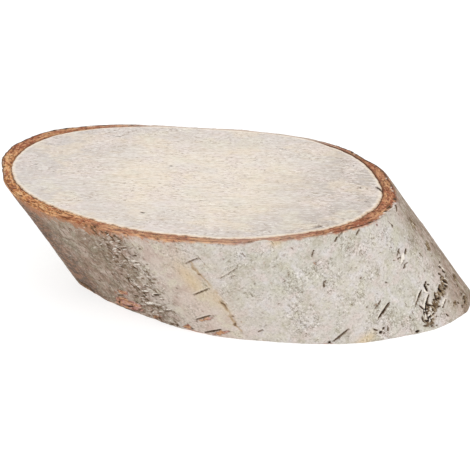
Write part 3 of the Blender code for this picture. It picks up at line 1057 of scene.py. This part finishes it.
def smooth_skin(paint, look):
    """Greys, with pink, olive and pale places, a warm part and a stain."""
    warm = paint.field("warm")
    broad = paint.noise(look.grain, 0.085, 4)
    base = paint.coats(paint.mix(broad.step(0.42, 0.60), colour(204, 196, 188), colour(196, 191, 180)), (
        (look.patches, 0.50, 0.64, 0.8, (210, 204, 202)),
        (look.patches, 0.47, 0.36, 0.8, (182, 175, 158)),
        (look.tints, 0.54, 0.66, 0.45, (198, 193, 172)),
        (look.tints, 0.47, 0.37, 0.5, (210, 194, 188)),
    ))
    base = paint.coats(paint.mix(warm * 0.7, base, colour(203, 184, 170)), (
        (look.tints, 0.52, 0.60, 0.55, (208, 201, 180), warm),
        (look.patches, 0.47, 0.39, 0.6, (186, 162, 152), warm),
    ))
    return paint.mix(paint.field("stain") * 0.7, base, colour(210, 186, 146))


def weathered_and_shaded_skin(paint, look):
    """Browns, with olive and reddish places, dark strokes and pale ones; on the undercut left the browns are
    partly painted shade.
    """
    mottle = paint.noise(look.grain, 0.42, 4, 0.65)
    bands = paint.noise(look.grain, 0.5, 4, 0.6, (1.0, 1.0, 0.3))
    base = paint.mix(look.patches.step(0.42, 0.58), colour(142, 121, 102), colour(180, 162, 147))
    return paint.coats(base, (
        (look.tints, 0.50, 0.60, 0.6, (150, 142, 120)),
        (look.tints, 0.46, 0.38, 0.5, (168, 138, 124)),
        (mottle, 0.54, 0.62, 0.7, (116, 96, 79)),
        (mottle, 0.46, 0.38, 0.5, (190, 175, 160)),
        (look.strokes, 0.56, 0.64, 0.7, (104, 82, 66)),
        (look.streaks, 0.43, 0.33, 0.45, (200, 186, 174)),
        (bands, 0.54, 0.64, 0.6, (126, 98, 76)),
    ))


def rough_places(paint, base, look):
    """The dark corner, the rough strip, the scar and the orange bark under the rim, over the skin."""
    rough = paint.field("rough")
    ruddy = paint.mix(look.streaks.step(0.42, 0.58), colour(72, 54, 44), colour(142, 102, 78))
    base = paint.coats(paint.mix(paint.field("ruddy") * 0.9, base, ruddy), (
        (look.strokes, 0.50, 0.60, 0.75, (116, 97, 82), rough),
        (look.streaks, 0.46, 0.38, 0.7, (224, 213, 202), rough),
    ))
    uneven = look.strokes - 0.5
    broken = paint.mix(look.strokes.step(0.46, 0.56), colour(156, 136, 106), colour(94, 72, 42))
    scar = (paint.field("scar") + uneven * 1.8).step(0.25, 0.60, 0, 0.95)
    glow = (paint.field("glow") + uneven * 2.4).step(0.25, 0.80) * 0.85
    return paint.mix(glow, paint.mix(scar, base, broken), colour(172, 118, 84))


def fine_marks(paint, base, look):
    """Speckles, spots and scratches all over, fewer of them on the warm smooth bark."""
    grime_and_shade = paint.field("grime_and_shade")
    # Fewer pale speckles on the weathered bark and on the painted shade of the undercut left.
    clear_of_grime_and_shade = grime_and_shade * -0.6 + 1.0
    share = (paint.field("warm").step(0.3, 0.8) * (grime_and_shade - 0.9) + 1.0).step(0.0, 1.0, 0.6, 1.0)
    busy = (look.clusters.step(0.46, 0.60) * 0.4 + 0.34) * share
    lines = paint.noise(look.grain, 0.40, 4, 0.6, (1.0, 1.0, 0.7))
    off_line = paint.add("Math", 0, {0: lines - 0.5}, operation="ABSOLUTE")
    return paint.coats(base, (
        (look.speckle, 0.53, 0.62, 1, (118, 108, 88), busy),
        (look.speckle, 0.46, 0.37, 1, (240, 235, 227), busy, clear_of_grime_and_shade),
        (look.strokes, 0.64, 0.70, 1, (70, 54, 44), grime_and_shade),
        (off_line, 0.024, 0.004, 1, (116, 104, 84), look.clusters.step(0.50, 0.58, 0, 0.65), share),
        (look.fine, 0.56, 0.70, 0.45, (128, 114, 98)),
    ))


def placed_marks(paint, base, look):
    """The peeled places, the cut rim, the crack, and the marks with their pale lips, partly painted
    highlight.
    """
    peel = paint.field("peel")
    crack = paint.field("crack")
    uneven = (look.speckle - 0.5) * 0.9
    dark = paint.field("dark") + uneven
    base = paint.coats(base, ((peel, 0.1, 0.4, 0.5, (112, 82, 66)),))
    base = paint.mix(peel.step(0.4, 0.8), base, peel_colour(paint, look.grain))
    base = paint.mix(paint.field("cork"), base, cork_colour(paint))
    return paint.coats(base, (
        (crack, 0.05, 0.6, 0.8, (178, 152, 120)),
        (crack, 0.45, 0.85, 1, (116, 94, 72), look.streaks.step(0.44, 0.56)),
        # Pale lips and lifted flakes; on the lips partly painted highlight.
        (paint.field("pale") + uneven, 0.25, 0.75, 0.9, (240, 230, 216)),
        (dark, 0.20, 0.60, 0.85, (108, 84, 58)),
        (dark, 0.55, 0.85, 1, (42, 29, 17)),
    ))


def bark_material():
    paint = Paint("birch_bark")
    look = bark_noises(paint)
    # Weathered browns over the smooth skin, from weathering and, on the undercut left, painted shade.
    base = paint.mix(paint.field("grime_and_shade"), smooth_skin(paint, look), weathered_and_shaded_skin(paint, look))
    for layer in (rough_places, fine_marks, placed_marks):
        base = layer(paint, base, look)
    height = look.speckle * 0.7 + look.fine * 0.3 + look.streaks * 0.4
    return paint.finish(base, look.speckle.step(0.3, 0.7, 0.7, 0.92), paint.bump(height, 0.0006, 0.8))


def strip_material():
    """Thin papery skin: cream outside, pinkish tan on its inner side."""
    paint = Paint("birch_skin")
    grain = paint.field("grain")
    speckle = paint.noise(grain, 1.2, 4, 0.7, (0.6, 0.6, 1.2))
    layers = paint.noise(grain, 1.5, 3, stretch=(0.2, 0.2, 1.4))
    outer = paint.mix(speckle.step(0.50, 0.64, 0, 0.8), colour(228, 220, 209), colour(140, 122, 104))
    inner = paint.mix(layers.step(0.4, 0.6), colour(196, 158, 128), colour(168, 128, 100))
    base = paint.mix(paint.field("under"), outer, inner)
    return paint.finish(base, speckle.step(0.3, 0.7, 0.6, 0.85), paint.bump(speckle, 0.0003, 0.4))


def wood_colour(paint, place, grain, streaks, fine):
    """Cream and grey by place, with tints, streaks and flecks along the grain, painted highlights beside the
    flecks and at the rim's edge, painted shade in the groove, and the marks.
    """
    away = paint.field("away")
    broad = paint.noise(place, 0.03, 3)
    clouds = paint.noise(place, 0.07, 4, 0.6, (0.8, 1.0, 1.0))
    tints = paint.noise(place, 0.09, 3, 0.6, (1.0, 0.8, 1.0))
    blotches = paint.noise(grain, 0.25, 4, 0.65, (0.5, 1.0, 1.0))
    fleck_place = paint.scaled(grain, (0.40, 1.0, 1.0))
    flecks = paint.noise(fleck_place, 0.70, 4, 0.7)
    # Painted highlight: a pale dash just beside each dark fleck, where light would catch its edge.
    beside = paint.add("VectorMath", 0, {0: fleck_place, 1: (0.0, 1.0, 0.0)}, operation="ADD")
    fleck_highlights = paint.noise(beside, 0.70, 4, 0.7)
    clusters = paint.noise(place, 0.09, 3, 0.6)
    specks = paint.noise(grain, 1.8, 3, 0.6, (0.32, 1.0, 1.0))

    centre = (away + broad * 26.0).step(16.0, 46.0)
    along = paint.add("SeparateXYZ", "X", {0: place}) + (broad - 0.5) * 40.0
    back = paint.add("SeparateXYZ", "Y", {0: place})
    many = clusters.step(0.44, 0.60, 0.2, 0.8)
    crowd = clusters.step(0.46, 0.58, 0.1, 0.8) + along.step(26.0, 56.0, 0, 0.4)
    crowd = crowd + back.step(8.0, 40.0, 0, 0.4)
    ragged = away + (paint.noise(place, 0.35, 4, 0.7) - 0.5) * 3.0
    clear = paint.field("faded") * -1.0 + 1.0
    return paint.coats(paint.mix(centre, colour(212, 203, 197), colour(231, 219, 204)), (
        (along, 5.0, 48.0, 1, (186, 176, 169)),
        (along, -24.0, -70.0, 0.9, (200, 192, 188)),
        (clouds, 0.50, 0.64, 0.6, (230, 214, 192)),
        (clouds, 0.48, 0.36, 0.6, (219, 212, 206)),
        (tints, 0.52, 0.64, 0.5, (226, 212, 208)),
        (tints, 0.47, 0.36, 0.5, (222, 216, 198)),
        (blotches, 0.54, 0.68, 0.5, (214, 198, 178)),
        (blotches, 0.46, 0.34, 0.5, (232, 224, 216)),
        (streaks, 0.52, 0.64, 0.5, (194, 180, 164)),
        (streaks, 0.47, 0.36, 0.5, (240, 233, 223)),
        (fine, 0.52, 0.62, 0.5, (184, 168, 150)),
        (fine, 0.47, 0.38, 0.5, (244, 238, 230)),
        # Painted highlights beside the flecks.
        (fleck_highlights, 0.62, 0.70, 1, (246, 240, 231), many),
        (flecks, 0.60, 0.68, 1, (146, 126, 100), many),
        (specks, 0.58, 0.65, 1, (138, 112, 88), crowd),
        (specks, 0.40, 0.34, 1, (252, 246, 238), crowd),
        # Pale wood inside the rim, with painted highlight where the wood's edge catches light.
        (away + (streaks * 2.4 - 1.2), 2.0, 0.8, 0.6, (244, 231, 213)),
        (ragged, 0.9, 0.1, 0.6, (208, 170, 128), clear),
        # The dark line at the rim: the dark cambium, with painted shade in the groove.
        (ragged, 0.25, -0.2, 0.8, (112, 74, 46), clear),
        (paint.field("mark") + (fine - 0.5) * 1.6, 0.24, 0.62, 0.95, (72, 52, 38)),
    ))


def wood_material():
    paint = Paint("birch_wood")
    place = paint.place()
    turn = {"Vector": place, "Angle": math.radians(GRAIN_TURN)}
    grain = paint.add("VectorRotate", 0, turn, rotation_type="Z_AXIS")
    streaks = paint.noise(grain, 0.62, 5, 0.8, (0.18, 1.0, 1.0))
    fine = paint.noise(grain, 1.3, 4, 0.75, (0.36, 1.0, 1.0))
    base = wood_colour(paint, place, grain, streaks, fine)
    height = streaks * 0.8 + fine * 0.5
    return paint.finish(base, fine.step(0.3, 0.7, 0.62, 0.8), paint.bump(height, 0.0004, 0.4))


def floor_material():
    paint = Paint("studio_floor")
    grain = paint.noise(paint.place(), 0.06, 2)
    base = paint.mix(grain, colour(169, 169, 169), colour(171, 171, 171))
    paint.put(paint.shader.inputs["Emission Color"], colour(255, 255, 255))
    paint.put(paint.shader.inputs["Emission Strength"], FLOOR_GLOW)
    return paint.finish(base, 0.9, paint.bump(grain, 0.0001, 0.1), 0.0)


# Floor, light and camera

def add_floor():
    size = FLOOR_HALF_SIZE
    data = bpy.data.meshes.new("floor")
    corners = [(-size, -size, 0), (size, -size, 0), (size, size, 0), (-size, size, 0)]
    data.from_pydata(corners, [], [(0, 1, 2, 3)])
    data.materials.append(floor_material())
    floor = bpy.data.objects.new("floor", data)
    bpy.context.scene.collection.objects.link(floor)


def add_lights():
    """An even white sky and one soft sun."""
    world = bpy.data.worlds.new("studio")
    bpy.context.scene.world = world
    world.use_nodes = True
    background = world.node_tree.nodes["Background"]
    background.inputs["Color"].default_value = (1, 1, 1, 1)
    background.inputs["Strength"].default_value = SKY_STRENGTH
    data = bpy.data.lights.new("key", "SUN")
    data.energy = SUN_STRENGTH
    data.angle = math.radians(SUN_SPREAD)
    sun = bpy.data.objects.new("key", data)
    sun.rotation_euler = Vector(SUN_SIDE).to_track_quat("Z", "Y").to_euler()
    bpy.context.scene.collection.objects.link(sun)


def add_camera():
    place, turn = camera_pose()
    data = bpy.data.cameras.new("camera")
    data.lens = LENS
    data.sensor_width = SENSOR_WIDTH
    data.clip_start = 0.01
    camera = bpy.data.objects.new("camera", data)
    camera.location = place
    camera.rotation_euler = turn.to_euler()
    bpy.context.scene.collection.objects.link(camera)
    bpy.context.scene.camera = camera


def main():
    bpy.context.scene.view_settings.view_transform = "Standard"
    add_bark(bark_material())
    add_wood(wood_material())
    add_strips(strip_material())
    add_floor()
    add_lights()
    add_camera()


main()
